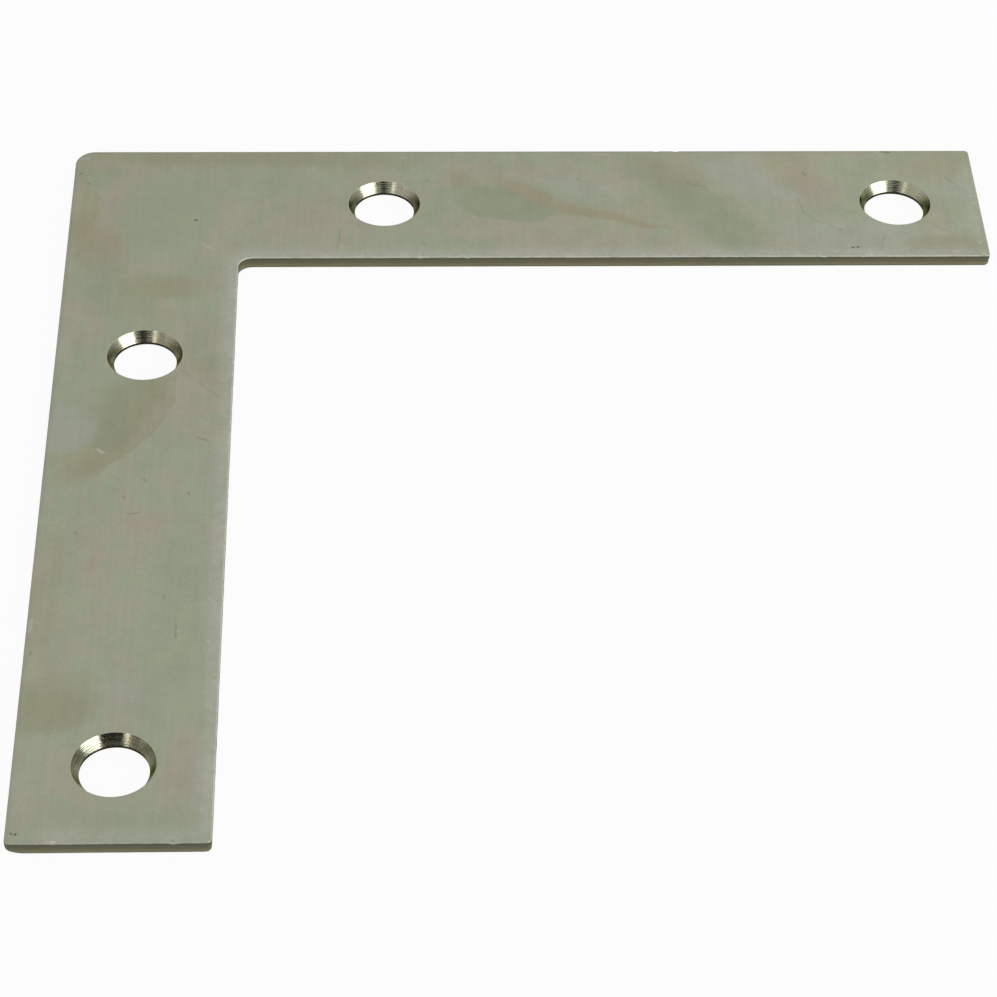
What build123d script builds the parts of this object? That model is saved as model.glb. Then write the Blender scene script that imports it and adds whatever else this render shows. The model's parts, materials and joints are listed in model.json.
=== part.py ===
from build123d import *
from math import radians, tan
import os

# Flat corner brace: one L-shaped plate pressed from steel strip, with two countersunk
# screw holes in each arm. It lies flat over the corner of a frame, countersinks upwards.
# Millimetres, Z up. The origin is on the underside, where the two rows of holes cross.
# One arm runs along +X and the other along -Y.

# Plate: each arm is measured from the outer corner
arm_length = 101.6
arm_width = 18.85
thickness = 1.6

# Corners of the outline
outer_corner_radius = 2.2
inner_corner_radius = 1.5
end_corner_radius = 0.5

# Edges: the press rolls the underside over and leaves the top almost sharp
underside_edge_radius = 0.4
top_edge_radius = 0.12

# Screw holes: each opens upwards in a cone, above a short straight wall
screw_hole_radius = 3.3
straight_wall_height = 0.44
countersink_angle = 60.0

# Places of the holes along each arm
near_hole_from_corner = 34.8
far_hole_from_end = 9.5

# Worked out: the rows of holes run along the middle of each arm's width
half_width = arm_width / 2
arm_middle = arm_length / 2 - half_width
near_hole = near_hole_from_corner - half_width
far_hole = arm_length - far_hole_from_end - half_width
hole_centres = [(near_hole, 0), (far_hole, 0), (0, -near_hole), (0, -far_hole)]
cone_height = thickness - straight_wall_height
rim_radius = screw_hole_radius + cone_height * tan(radians(countersink_angle / 2))


def l_outline():
    """The L seen from above, with every corner rounded."""
    with BuildSketch() as outline:
        with Locations((arm_middle, 0)):
            Rectangle(arm_length, arm_width)
        with Locations((0, -arm_middle)):
            Rectangle(arm_width, arm_length)
        corners = outline.vertices()
        outer_corner = corners.sort_by_distance((-half_width, half_width))[0]
        inner_corner = corners.sort_by_distance((half_width, -half_width))[0]
        end_corners = corners.group_by(Axis.X)[-1] + corners.group_by(Axis.Y)[0]
        fillet(outer_corner, outer_corner_radius)
        fillet(inner_corner, inner_corner_radius)
        fillet(end_corners, end_corner_radius)
    return outline.sketch


def corner_plate():
    """The pressed blank with its edges, then the countersunk holes through it."""
    with BuildPart() as plate:
        add(l_outline())
        extrude(amount=thickness)
        underside = plate.faces().sort_by(Axis.Z)[0]
        fillet(underside.edges(), underside_edge_radius)
        top = plate.faces().sort_by(Axis.Z)[-1]
        fillet(top.edges(), top_edge_radius)
        with Locations((0, 0, thickness)):
            with Locations(*hole_centres):
                CounterSinkHole(screw_hole_radius, rim_radius, counter_sink_angle=countersink_angle)
    return plate.part


os.makedirs("parts", exist_ok=True)
export_step(corner_plate(), "parts/corner_plate.step")
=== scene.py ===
# Flat corner brace: one L-shaped plate pressed from zinc-plated steel strip, with two
# turned countersinks in each arm. It lies flat, with the countersinks upwards.
# Metres, Z up. The origin is on the underside, where the two rows of holes cross.
# One arm runs along +X and the other along -Y.

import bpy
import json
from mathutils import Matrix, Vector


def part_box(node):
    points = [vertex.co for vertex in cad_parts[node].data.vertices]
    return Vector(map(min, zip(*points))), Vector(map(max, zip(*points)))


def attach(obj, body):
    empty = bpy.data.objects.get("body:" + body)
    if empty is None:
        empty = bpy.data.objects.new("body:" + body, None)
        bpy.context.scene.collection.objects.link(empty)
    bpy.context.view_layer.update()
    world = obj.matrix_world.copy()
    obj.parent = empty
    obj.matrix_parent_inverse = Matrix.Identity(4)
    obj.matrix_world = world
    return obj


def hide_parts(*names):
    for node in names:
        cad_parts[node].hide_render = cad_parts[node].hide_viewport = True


bl_info = {
    "name": "Flat Corner Brace",
    "version": (1, 0, 0),
    "blender": (4, 5, 0),
    "location": "3D View > Sidebar > Brace",
    "description": "A pressed and plated corner brace, its finish and its studio",
    "category": "Object",
}

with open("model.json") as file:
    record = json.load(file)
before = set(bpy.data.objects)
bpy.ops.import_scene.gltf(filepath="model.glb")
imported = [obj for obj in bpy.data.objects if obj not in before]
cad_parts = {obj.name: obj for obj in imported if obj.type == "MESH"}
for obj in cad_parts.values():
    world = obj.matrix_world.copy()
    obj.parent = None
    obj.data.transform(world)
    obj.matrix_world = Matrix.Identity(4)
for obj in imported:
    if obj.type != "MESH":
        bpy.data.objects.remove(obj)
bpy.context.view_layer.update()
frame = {"record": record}

import json
import math

import bmesh
import bpy
import numpy as np
from bpy.props import FloatProperty, FloatVectorProperty, PointerProperty
from mathutils import Matrix, Vector
from mathutils.geometry import delaunay_2d_cdt

MM = 0.001
NODE = "corner_plate"
BODY = "root"

# What the frame says: the plate's box, and the row of screw holes along the first arm
plate_low, plate_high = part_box(NODE)
mounts = {mount["name"]: mount for mount in frame["record"]["mounts"]}
hole_row = mounts["x_arm_screw_holes"]
row_middle = hole_row["pos_m"][0]
half_row = hole_row["dims"]["spacing_x_mm"] * MM / 2
screw_radius = hole_row["dims"]["hole_r_mm"] * MM


# Sizes, finish and studio


def length(name, default, description):
    """A length that a user can change."""
    return FloatProperty(
        name=name, description=description, default=default, min=0.0, unit="LENGTH", precision=5
    )


def colour(name, default, description):
    """A linear colour that a user can change."""
    return FloatVectorProperty(
        name=name, description=description, default=default, size=3, min=0.0, max=1.0, subtype="COLOR"
    )


def share(name, default, description):
    """A number from 0 to 1 that a user can change."""
    return FloatProperty(
        name=name, description=description, default=default, min=0.0, max=1.0, subtype="FACTOR"
    )


def strength(name, default, description):
    """How bright a lamp or a surface is."""
    return FloatProperty(name=name, description=description, default=default, min=0.0)


class BraceSizes(bpy.types.PropertyGroup):
    """Sizes of the plate, its edges and its screw holes."""

    arm_length: length("Arm Length", plate_high.x - plate_low.x, "Each arm, from the outer corner")
    arm_width: length("Arm Width", -2 * plate_low.x, "Width of both arms")
    thickness: length("Thickness", plate_high.z - plate_low.z, "Thickness of the strip")
    outer_corner_radius: length("Outer Corner", 2.2 * MM, "Radius of the outer corner")
    inner_corner_radius: length("Inner Corner", 1.5 * MM, "Radius of the inner corner")
    end_corner_radius: length("End Corners", 0.5 * MM, "Radius of the corners at the arms' ends")
    top_edge_radius: length("Top Edge", 0.12 * MM, "Radius of the edge round the top face")
    underside_edge_radius: length("Underside Edge", 0.4 * MM, "Radius of the edge underneath")
    near_hole: length("Near Hole", row_middle - half_row, "Distance from the origin to each near hole")
    far_hole: length("Far Hole", row_middle + half_row, "Distance from the origin to each far hole")
    screw_hole_radius: length("Screw Hole", screw_radius, "Radius of the straight hole")
    straight_wall_height: length("Straight Wall", 0.44 * MM, "Height of the straight wall under the cone")
    countersink_angle: FloatProperty(
        name="Countersink", description="Included angle of the cone", default=math.radians(60),
        subtype="ANGLE",
    )
    rim_edge_radius: length("Rim Edge", 0.05 * MM, "Radius of the worn edge round the countersink")
    foot_edge_radius: length("Foot Edge", 0.28 * MM, "Radius of the hole's edge underneath")
    turning_pitch: length("Turning Pitch", 0.16 * MM, "Distance between the rings that the cutter leaves")
    turning_depth: length("Turning Depth", 0.006 * MM, "Depth of those rings")
    fracture_depth: length("Fracture Depth", 0.035 * MM, "How far the torn part of the wall lies in")
    edge_unevenness: length("Edge Unevenness", 0.03 * MM, "How far the cut edge wanders")


class BraceFinish(bpy.types.PropertyGroup):
    """Colours of the plating and of the bare and cut metal."""

    zinc: colour("Zinc", (0.336, 0.341, 0.256), "The plating where its film is even")
    pale: colour("Thin Film", (0.345, 0.357, 0.296), "Film so thin that the metal's grey shows")
    green: colour("Green Film", (0.310, 0.345, 0.250), "Film that shows green")
    rose: colour("Rose Film", (0.357, 0.326, 0.262), "Film that shows rose")
    brown: colour("Brown Film", (0.321, 0.299, 0.210), "Film that shows a rosy brown")
    straw: colour("Straw Film", (0.319, 0.323, 0.216), "Film that shows straw yellow")
    deep: colour("Deep Green Film", (0.283, 0.315, 0.225), "Thick film that shows a dull green")
    olive: colour("Olive Film", (0.291, 0.291, 0.199), "The thickest film, which shows olive")
    bare: colour("Bare Metal", (0.417, 0.421, 0.377), "Zinc where the film is rubbed off")
    # Colour of the pale edge line and of the glint spots: partly worn zinc, partly painted highlight
    wear_and_highlight: colour("Rubbed Edge", (0.620, 0.640, 0.540), "The pale line along the most worn edges")
    # The cut wall's colours are the burnished and torn metal darkened by painted reflection; the dark one
    # also colours the dark marks and the painted shade along the edges
    cut_dark_and_shade: colour("Cut Wall Top", (0.056, 0.054, 0.032), "The burnished upper half of the cut wall")
    cut_light: colour("Cut Wall Bottom", (0.186, 0.164, 0.086), "The torn lower half of the cut wall")
    cone: colour("Turned Steel", (0.345, 0.332, 0.285), "Tint of the turned cones, under their film")
    seen_low: colour("Faces Seen Low", (0.300, 0.300, 0.270), "Tint of the faces seen at a low angle")
    face_roughness: share("Face Roughness", 0.46, "Roughness of the two faces")
    cut_roughness: share("Cut Roughness", 0.50, "Roughness of the cut wall")
    cone_roughness: share("Cone Roughness", 0.14, "Roughness of the turned cones")


class BraceStudio(bpy.types.PropertyGroup):
    """Camera, lamps and floor."""

    camera_place: FloatVectorProperty(
        name="Camera", description="Place of the camera", default=(0.02527, -0.27793, 0.22431), size=3,
        subtype="TRANSLATION",
    )
    camera_aim: FloatVectorProperty(
        name="Aim", description="Point of the top face in the middle of the picture",
        default=(0.03673, -0.04753, 0.0016), size=3, subtype="TRANSLATION",
    )
    camera_roll: FloatProperty(
        name="Roll", description="Turn of the camera about its own axis", default=math.radians(1.666),
        subtype="ANGLE",
    )
    lens: FloatProperty(
        name="Lens", description="Focal length on a 36 mm sensor", default=114.61, unit="CAMERA"
    )
    room: strength("Room", 0.55, "Brightness of the room's walls")
    floor_glow: share("Floor Glow", 0.95, "How much of the floor shows as plain white")
    mirrored_glow: share("Mirrored Glow", 0.70, "How much of it does so in the metal")


# Node trees


class Graph:
    """A node tree, built one node at a time."""

    def __init__(self, tree):
        self.tree = tree

    def add(self, kind, inputs=None, **settings):
        """Add a node, then set or link its inputs, which are given by name or by number."""
        node = self.tree.nodes.new(kind)
        for name, value in settings.items():
            setattr(node, name, value)
        for key, value in (inputs or {}).items():
            self.feed(node.inputs[key], value)
        return node

    def feed(self, socket, value):
        """Link a socket to another one, or set its value."""
        if isinstance(value, bpy.types.NodeSocket):
            self.tree.links.new(value, socket)
        else:
            socket.default_value = value

    def math(self, operation, *values):
        """The result of a sum on numbers."""
        return self.add("ShaderNodeMath", dict(enumerate(values)), operation=operation).outputs[0]

    def product(self, *values):
        """Numbers multiplied together."""
        result = values[0]
        for value in values[1:]:
            result = self.math("MULTIPLY", result, value)
        return result

    def minus(self, value):
        """A number with its sign turned."""
        return self.math("MULTIPLY", value, -1.0)

    def vector(self, operation, *values, scale=None):
        """The result of a sum on vectors."""
        node = self.add("ShaderNodeVectorMath", dict(enumerate(values)), operation=operation)
        if scale is not None:
            self.feed(node.inputs["Scale"], scale)
        measured = operation in ("DISTANCE", "LENGTH", "DOT_PRODUCT")
        return node.outputs["Value" if measured else "Vector"]

    def combine(self, x=0.0, y=0.0, z=0.0):
        """A vector from three numbers."""
        return self.add("ShaderNodeCombineXYZ", {"X": x, "Y": y, "Z": z}).outputs[0]

    def split(self, vector):
        """The three numbers of a vector."""
        return self.add("ShaderNodeSeparateXYZ", {0: vector}).outputs

    def ease(self, value, start, end, low=0.0, high=1.0):
        """A smooth step from low at start to high at end."""
        inputs = {"Value": value, "From Min": start, "From Max": end, "To Min": low, "To Max": high}
        node = self.add("ShaderNodeMapRange", inputs, interpolation_type="SMOOTHSTEP", clamp=False)
        return node.outputs["Result"]

    def noise(self, place, scale, detail=2.0, roughness=0.5):
        """Noise from 0 to 1 at a place."""
        inputs = {"Vector": place, "Scale": scale, "Detail": detail, "Roughness": roughness}
        return self.add("ShaderNodeTexNoise", inputs).outputs

    def warped(self, place, size, detail, reach):
        """A place that noise moves about, by up to half of a reach each way."""
        shift = self.vector("SUBTRACT", self.noise(place, 1 / size, detail)["Color"], (0.5, 0.5, 0.5))
        return self.vector("ADD", place, self.vector("SCALE", shift, scale=reach))

    def position(self):
        """The place of each point of a geometry."""
        return self.add("GeometryNodeInputPosition").outputs[0]

    def blend(self, factor, first, second, kind="MIX"):
        """Two colours blended."""
        node = self.add("ShaderNodeMix", data_type="RGBA", blend_type=kind)
        for number, value in ((0, factor), (6, first), (7, second)):
            self.feed(node.inputs[number], value)
        return node.outputs[2]

    def place_group(self, tree, inputs):
        """Place another tree in this one and give its outputs."""
        kind = "GeometryNodeGroup" if tree.bl_idname == "GeometryNodeTree" else "ShaderNodeGroup"
        node = self.add(kind, node_tree=tree)
        for name, value in inputs.items():
            self.feed(node.inputs[name], value)
        return node.outputs


def new_group(name, kind, inputs, outputs):
    """A node group with named sockets. Gives its tree, its graph, its inputs and its output node."""
    tree = bpy.data.node_groups.new(name, kind)
    for in_out, sockets in (("INPUT", inputs), ("OUTPUT", outputs)):
        for socket, socket_kind in sockets.items():
            tree.interface.new_socket(socket, in_out=in_out, socket_type="NodeSocket" + socket_kind)
    graph = Graph(tree)
    return tree, graph, graph.add("NodeGroupInput").outputs, graph.add("NodeGroupOutput").inputs


# Shape of the edges and the countersinks

# Steps of the rounded corners in plan, of the edge's and of the countersinks' section, and the
# countersinks' sides
CORNER_STEPS = 8
EDGE_STEPS = 4
SINK_STEPS = 3
SINK_SIDES = 144

# How near the level of a face still counts as that face
FLAT_LEVEL = 0.005 * MM

# The cut wall: the sizes of its slow wander, of the tear's ups and downs and of its crumbs
WANDER_SIZE = 6 * MM
TEAR_SIZE = 2.5 * MM
CRUMB_SIZE = 0.35 * MM

# The top of the tear: its lowest height, how much higher it may reach, and how far it fades
LOWEST_TEAR = 0.55 * MM
TEAR_SPREAD = 0.5 * MM
TEAR_FADE = 0.12 * MM

# The cutter's rings: the size of their wobble, how many rings it reaches, between what depths
# they fade in below the rim, and how far above the straight wall they have faded out
WOBBLE_SIZE = 0.5 * MM
WOBBLE_RINGS = 4.0
RIM_FADE = (0.04 * MM, 0.14 * MM)
WALL_FADE = 0.1 * MM

# How far from its rim and from the straight wall the cone's rows lie close together
BELOW_RIM = 0.01 * MM
ABOVE_WALL = 0.05 * MM


def even_spacing_tree():
    """Divides each straight run of a curve into steps of about one length."""
    tree, graph, given, result = new_group(
        "even_spacing", "GeometryNodeTree",
        {"Curve": "Geometry", "Spacing": "Float"}, {"Curve": "Geometry"},
    )
    place = graph.position()
    index = graph.add("GeometryNodeInputIndex").outputs[0]
    size = graph.add("GeometryNodeAttributeDomainSize", component="CURVE")
    graph.feed(size.inputs[0], given["Curve"])
    following = graph.math("MODULO", graph.math("ADD", index, 1.0), size.outputs["Point Count"])
    ahead = graph.add("GeometryNodeFieldAtIndex", data_type="FLOAT_VECTOR", domain="POINT")
    graph.feed(ahead.inputs["Value"], place)
    graph.feed(ahead.inputs["Index"], following)
    run = graph.vector("DISTANCE", place, ahead.outputs[0])
    steps = graph.math("ROUND", graph.math("DIVIDE", run, given["Spacing"]))
    cuts = graph.math("MAXIMUM", graph.math("SUBTRACT", steps, 1.0), 0.0)
    divided = graph.add("GeometryNodeSubdivideCurve", {"Curve": given["Curve"], "Cuts": cuts})
    graph.feed(result["Curve"], divided.outputs[0])
    return tree


def choose(graph, kind, values):
    """The value with the number of the point."""
    node = graph.add("GeometryNodeIndexSwitch", data_type=kind)
    while len(node.index_switch_items) < len(values):
        node.index_switch_items.new()
    graph.feed(node.inputs["Index"], graph.add("GeometryNodeInputIndex").outputs[0])
    for number, value in enumerate(values):
        graph.feed(node.inputs[number + 1], value)
    return node.outputs[0]


def rounded_line(graph, curve, points, radii, steps, spacing, even_spacing):
    """Moves a curve's points, rounds its corners and divides its runs."""
    inputs = {"Geometry": curve, "Position": choose(graph, "VECTOR", points)}
    moved = graph.add("GeometryNodeSetPosition", inputs).outputs[0]
    rounded = graph.add("GeometryNodeFilletCurve", mode="POLY")
    graph.feed(rounded.inputs["Curve"], moved)
    graph.feed(rounded.inputs["Count"], steps)
    graph.feed(rounded.inputs["Radius"], choose(graph, "FLOAT", radii))
    return graph.place_group(even_spacing, {"Curve": rounded.outputs[0], "Spacing": spacing})[0]


def open_line(graph, count):
    """An open curve of straight runs."""
    line = graph.add("GeometryNodeMeshLine", {"Count": count}, mode="OFFSET")
    return graph.add("GeometryNodeMeshToCurve", {"Mesh": line.outputs[0]}).outputs[0]


def captured(graph, geometry, values):
    """Keeps values on a curve's points. Gives the curve and the kept values."""
    node = graph.add("GeometryNodeCaptureAttribute", {"Geometry": geometry}, domain="POINT")
    for name, value in values.items():
        node.capture_items.new("VECTOR", name)
        graph.feed(node.inputs[name], value)
    return node.outputs[0], [node.outputs[name] for name in values]


def swept(graph, path, path_place, outward, profile, section):
    """Sweeps a profile along a path: its X is how far outwards, its Y how high."""
    across, height, _ = graph.split(section)
    mesh = graph.add("GeometryNodeCurveToMesh", {"Curve": path, "Profile Curve": profile}).outputs[0]
    level = graph.vector("ADD", path_place, graph.vector("SCALE", outward, scale=across))
    inputs = {"Geometry": mesh, "Position": graph.vector("ADD", level, graph.combine(z=height))}
    return graph.add("GeometryNodeSetPosition", inputs).outputs[0], across, height


def finished(graph, geometry, wall, face, is_face, output):
    """Ends a tree: makes instances real and gives each part its material."""
    real = graph.add("GeometryNodeRealizeInstances", {"Geometry": geometry}).outputs[0]
    walls = graph.add("GeometryNodeSetMaterial", {"Geometry": real, "Material": wall}).outputs[0]
    inputs = {"Geometry": walls, "Selection": is_face, "Material": face}
    graph.feed(output, graph.add("GeometryNodeSetMaterial", inputs).outputs[0])


def compare(graph, operation, value, limit):
    """A test of a number against a limit."""
    return graph.add("FunctionNodeCompare", {0: value, 1: limit}, operation=operation).outputs[0]


def joined(graph, operation, first, second):
    """Two tests joined by AND or by OR."""
    return graph.add("FunctionNodeBooleanMath", {0: first, 1: second}, operation=operation).outputs[0]


def on_faces(graph, from_top, top_limit, height):
    """True on the faces: within a limit of the top's level, or at the underside's."""
    on_top = compare(graph, "LESS_THAN", from_top, top_limit)
    underneath = compare(graph, "LESS_THAN", height, FLAT_LEVEL)
    return joined(graph, "OR", on_top, underneath)


EDGE_INPUTS = (
    "Arm Length", "Arm Width", "Thickness", "Outer Corner", "Inner Corner", "End Corners",
    "Top Edge", "Underside Edge", "Top Margin", "Underside Margin", "Spacing", "Wall Spacing",
    "Fracture Depth", "Edge Unevenness",
)


def outline_path(graph, given, even_spacing):
    """The L seen from above, with its corners rounded and its runs divided."""
    half = graph.product(given["Arm Width"], 0.5)
    far = graph.math("SUBTRACT", given["Arm Length"], half)
    back_half = graph.minus(half)
    back_far = graph.minus(far)
    corners = [
        (back_half, half, given["Outer Corner"]),
        (back_half, back_far, given["End Corners"]),
        (half, back_far, given["End Corners"]),
        (half, back_half, given["Inner Corner"]),
        (far, back_half, given["End Corners"]),
        (far, half, given["End Corners"]),
    ]
    circle = graph.add("GeometryNodeCurvePrimitiveCircle", {"Resolution": len(corners)}).outputs[0]
    points = [graph.combine(x, y) for x, y, _ in corners]
    radii = [radius for _, _, radius in corners]
    return rounded_line(graph, circle, points, radii, CORNER_STEPS, given["Spacing"], even_spacing)


def edge_profile(graph, given, even_spacing):
    """The section of the edge: a margin of the top, the cut wall and a margin of the underside."""
    thickness = given["Thickness"]
    top_start = graph.minus(graph.math("ADD", given["Top Edge"], given["Top Margin"]))
    under_start = graph.minus(graph.math("ADD", given["Underside Edge"], given["Underside Margin"]))
    points = [
        graph.combine(top_start, thickness),
        graph.combine(0.0, thickness),
        graph.combine(),
        graph.combine(under_start),
    ]
    radii = [0.0, given["Top Edge"], given["Underside Edge"], 0.0]
    line = open_line(graph, len(points))
    return rounded_line(graph, line, points, radii, EDGE_STEPS, given["Wall Spacing"], even_spacing)


def cut_inset(graph, given, path_place, across, height):
    """How far the cut wall lies in: it wanders a little, and its lower half, which tore, is rough."""
    wander = graph.noise(path_place, 1 / WANDER_SIZE, 3.0)[0]
    tear_noise = graph.noise(path_place, 1 / TEAR_SIZE, 3.0)[0]
    tear_top = graph.math("MULTIPLY_ADD", tear_noise, TEAR_SPREAD, LOWEST_TEAR)
    torn = graph.ease(height, tear_top, graph.math("SUBTRACT", tear_top, TEAR_FADE))
    crumbs = graph.noise(graph.position(), 1 / CRUMB_SIZE, 3.0)[0]
    lie_back = graph.product(graph.math("ADD", 0.5, crumbs), given["Fracture Depth"])
    uneven = graph.product(wander, given["Edge Unevenness"])
    on_wall = graph.ease(across, graph.minus(given["Underside Edge"]), 0.0)
    return graph.product(graph.math("MULTIPLY_ADD", torn, lie_back, uneven), on_wall)


def pressed_edge_tree(even_spacing, face, wall):
    """The band round the plate: a margin of each face, the two pressed edges and the cut wall."""
    inputs = {"Geometry": "Geometry", **{name: "Float" for name in EDGE_INPUTS}}
    outputs = {"Geometry": "Geometry"}
    tree, graph, given, result = new_group("pressed_edge", "GeometryNodeTree", inputs, outputs)
    outline = outline_path(graph, given, even_spacing)
    tangent = graph.add("GeometryNodeInputTangent").outputs[0]
    outward = graph.vector("CROSS_PRODUCT", tangent, (0, 0, 1))
    values = {"Place": graph.position(), "Outward": outward}
    path, (path_place, outward) = captured(graph, outline, values)
    line = edge_profile(graph, given, even_spacing)
    profile, (section,) = captured(graph, line, {"Section": graph.position()})
    band, across, height = swept(graph, path, path_place, outward, profile, section)
    inset = cut_inset(graph, given, path_place, across, height)
    offset = graph.vector("SCALE", outward, scale=graph.minus(inset))
    worn = graph.add("GeometryNodeSetPosition", {"Geometry": band, "Offset": offset}).outputs[0]
    from_top = graph.math("SUBTRACT", given["Thickness"], height)
    is_face = on_faces(graph, from_top, given["Top Edge"], height)
    finished(graph, worn, wall, face, is_face, result["Geometry"])
    return tree


SINK_INPUTS = (
    "Thickness", "Screw Hole", "Straight Wall", "Cone Slope", "Rim Edge", "Foot Edge", "Face Margin",
    "Row Spacing", "Wall Spacing", "Turning Pitch", "Turning Depth",
)


def sink_profile(graph, given, even_spacing):
    """The section of a countersink: a margin of the top, the cone, the straight wall, a margin below."""
    thickness, hole, wall_top = given["Thickness"], given["Screw Hole"], given["Straight Wall"]
    cone_height = graph.math("SUBTRACT", thickness, wall_top)
    rim = graph.math("MULTIPLY_ADD", cone_height, given["Cone Slope"], hole)
    points = [
        graph.combine(graph.math("ADD", rim, given["Face Margin"]), thickness),
        graph.combine(rim, thickness),
        graph.combine(hole, wall_top),
        graph.combine(hole),
        graph.combine(graph.math("ADD", hole, given["Face Margin"])),
    ]
    radii = [0.0, given["Rim Edge"], given["Rim Edge"], given["Foot Edge"], 0.0]

    # The cone is divided finely enough to hold the cutter's rings
    level = graph.split(graph.position())[1]
    below_rim = compare(graph, "LESS_THAN", level, graph.math("SUBTRACT", thickness, BELOW_RIM))
    above_wall = compare(graph, "GREATER_THAN", level, graph.math("ADD", wall_top, ABOVE_WALL))
    inputs = {
        "Switch": joined(graph, "AND", below_rim, above_wall),
        "False": given["Wall Spacing"],
        "True": given["Row Spacing"],
    }
    spacing = graph.add("GeometryNodeSwitch", inputs, input_type="FLOAT").outputs[0]
    line = open_line(graph, len(points))
    return rounded_line(graph, line, points, radii, SINK_STEPS, spacing, even_spacing)


def ring_depth(graph, given, from_top, height):
    """How deep the cutter's rings are. They fade out at the rim and at the straight wall."""
    wobble = graph.noise(graph.combine(z=from_top), 1 / WOBBLE_SIZE, 2.0)[0]
    rings = graph.math("DIVIDE", from_top, given["Turning Pitch"])
    turn = graph.math("MULTIPLY_ADD", wobble, WOBBLE_RINGS, rings)
    wave = graph.math("SINE", graph.product(turn, math.tau))
    ring = graph.math("MULTIPLY_ADD", wave, 0.5, 0.5)
    wall_top = given["Straight Wall"]
    fade_in = graph.ease(from_top, *RIM_FADE)
    fade_out = graph.ease(height, wall_top, graph.math("ADD", wall_top, WALL_FADE))
    return graph.product(fade_in, fade_out, ring, given["Turning Depth"])


def countersink_tree(even_spacing, face, cone):
    """A turned countersink at each point, with a margin of the top and of the underside."""
    inputs = {"Geometry": "Geometry", **{name: "Float" for name in SINK_INPUTS}, "Seed": "Int"}
    outputs = {"Geometry": "Geometry"}
    tree, graph, given, result = new_group("countersinks", "GeometryNodeTree", inputs, outputs)
    line = sink_profile(graph, given, even_spacing)
    profile, (section,) = captured(graph, line, {"Section": graph.position()})
    inputs = {"Resolution": SINK_SIDES, "Radius": 1.0}
    circle = graph.add("GeometryNodeCurvePrimitiveCircle", inputs).outputs[0]
    path, (outward,) = captured(graph, circle, {"Outward": graph.position()})
    lathed, _, height = swept(graph, path, (0, 0, 0), outward, profile, section)
    from_top = graph.math("SUBTRACT", given["Thickness"], height)
    downwards = graph.combine(z=graph.minus(given["Cone Slope"]))
    into_metal = graph.vector("NORMALIZE", graph.vector("ADD", outward, downwards))
    offset = graph.vector("SCALE", into_metal, scale=ring_depth(graph, given, from_top, height))
    turned = graph.add("GeometryNodeSetPosition", {"Geometry": lathed, "Offset": offset}).outputs[0]
    start = graph.add("FunctionNodeRandomValue", {"Seed": given["Seed"]}, data_type="FLOAT")
    graph.feed(start.inputs[3], math.tau)
    spots = graph.add("GeometryNodeMeshToPoints", {"Mesh": given["Geometry"]}).outputs[0]
    inputs = {"Points": spots, "Instance": turned, "Rotation": graph.combine(z=start.outputs[1])}
    copies = graph.add("GeometryNodeInstanceOnPoints", inputs).outputs[0]
    is_face = on_faces(graph, from_top, FLAT_LEVEL, height)
    finished(graph, copies, cone, face, is_face, result["Geometry"])
    return tree


def made_by(tree, points, values):
    """The plain mesh that a geometry tree makes from some points."""
    source = bpy.data.meshes.new(tree.name)
    source.from_pydata(points, [], [])
    holder = bpy.data.objects.new(tree.name, source)
    bpy.context.scene.collection.objects.link(holder)
    modifier = holder.modifiers.new(tree.name, "NODES")
    modifier.node_group = tree
    for item in tree.interface.items_tree:
        if item.in_out == "INPUT" and item.name in values:
            modifier[item.identifier] = values[item.name]
    depsgraph = bpy.context.evaluated_depsgraph_get()
    mesh = bpy.data.meshes.new_from_object(holder.evaluated_get(depsgraph), depsgraph=depsgraph)
    holder.modifiers.remove(modifier)
    bpy.data.objects.remove(holder)
    bpy.data.meshes.remove(source)
    return mesh


# The plate

# Margins of the faces that are made with the edge and with the countersinks
FACE_MARGIN = 0.25 * MM
UNDERSIDE_MARGIN = 0.05 * MM

# Distances between the mesh's points
OUTLINE_SPACING = 0.25 * MM
EDGE_WALL_SPACING = 0.18 * MM
SINK_WALL_SPACING = 0.2 * MM
CONE_ROW_SPACING = 0.035 * MM
TOP_SPACING = 0.55 * MM
UNDERSIDE_SPACING = 0.8 * MM
ON_PLANE = 0.001 * MM

# How the faces are filled: only inside their borders, and with no point within this share of the
# spacing from a border
INSIDE_ONLY = 1
WELD = 1e-6
BORDER_CLEARANCE = 0.6

# Rings of points round each pit: share of its radius, and how many
MARK_RINGS = ((0.35, 6), (0.7, 10), (1.05, 14), (1.5, 14))
MARK_CLEARANCE = 2.0
SHARP_ANGLE = math.radians(38)

# Pits and nicks in the top face: across, along, radius and depth, in millimetres
PITS = (
    (4.5, -2.95, 0.22, 0.07),
    (42.8, -0.15, 0.22, 0.05),
    (63.4, -1.85, 0.28, 0.06),
    (77.15, -7.9, 0.20, 0.08),
    (77.65, -7.85, 0.18, 0.08),
    (-7.9, -32.5, 0.25, 0.05),
    (-3.8, -40.2, 0.30, 0.05),
    (8.3, -58.65, 0.28, 0.05),
    (6.3, -61.5, 0.24, 0.08),
    (-8.6, -90.95, 0.32, 0.10),
)
# Nicks in the top edge
NICKS = (
    (-9.3, 5.35, 0.40, 0.10),
    (-9.1, 8.65, 0.35, 0.08),
    (29.3, -9.4, 0.35, 0.07),
    (34.5, -9.4, 0.40, 0.08),
    (73.8, -9.45, 0.40, 0.08),
    (56.4, 9.35, 0.40, 0.08),
    (58.6, 9.35, 0.40, 0.10),
    (5.95, -92.1, 0.45, 0.16),
    (-4.9, -92.1, 0.35, 0.08),
)


def hole_centres(sizes):
    """The centres of the four screw holes."""
    return [
        (sizes.near_hole, 0.0, 0.0),
        (sizes.far_hole, 0.0, 0.0),
        (0.0, -sizes.near_hole, 0.0),
        (0.0, -sizes.far_hole, 0.0),
    ]


def cone_slope(sizes):
    """How much the cone widens for each unit of height."""
    return math.tan(sizes.countersink_angle / 2)


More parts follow.
